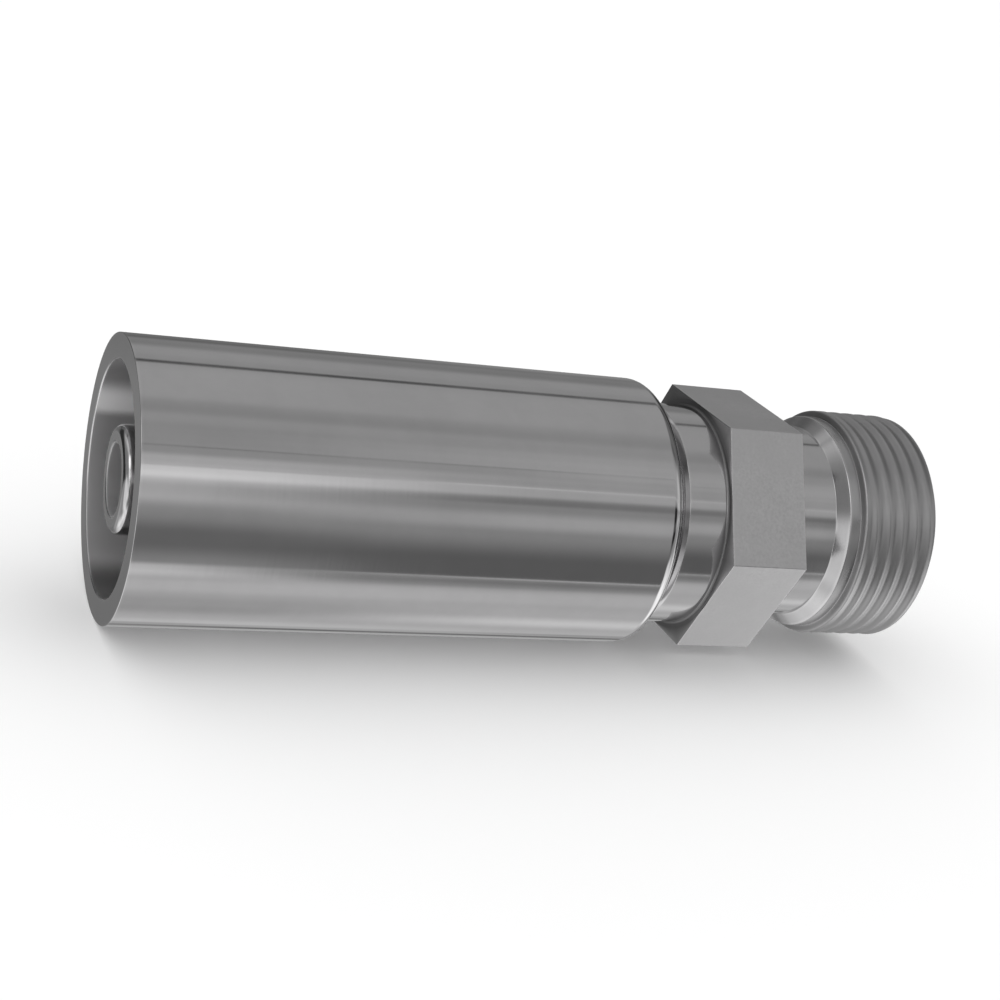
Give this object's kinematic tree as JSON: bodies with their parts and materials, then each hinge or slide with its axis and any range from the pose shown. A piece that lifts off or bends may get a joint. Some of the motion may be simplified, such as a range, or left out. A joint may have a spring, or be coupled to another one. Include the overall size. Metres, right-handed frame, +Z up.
{
  "type": "crimp hose fitting",
  "caption": "Crimp hose fitting: a smooth crimp sleeve swaged on to a turned steel nipple with a barbed tail, a collar, a hexagon and a male metric thread with an internal sealing cone.",
  "frame": {"origin": "on the fitting's axis, in the plane of the hexagon's hose-side face", "axes": "+X along the flow bore from the hose end to the threaded end, +Z up, square to two of the hexagon's flats; the fitting lies on its sleeve"},
  "size_m": [0.0774, 0.0254, 0.025],
  "materials": {
    "sleeve_steel": "smooth turned and zinc-plated steel, bright with fine lengthwise reflections",
    "nipple_steel": "turned and zinc-plated steel, satin, with faintly grainy hexagon flats"
  },
  "bodies": {
    "root": {"crimp_sleeve": "sleeve_steel", "nipple": "nipple_steel"}
  },
  "joints": []
}
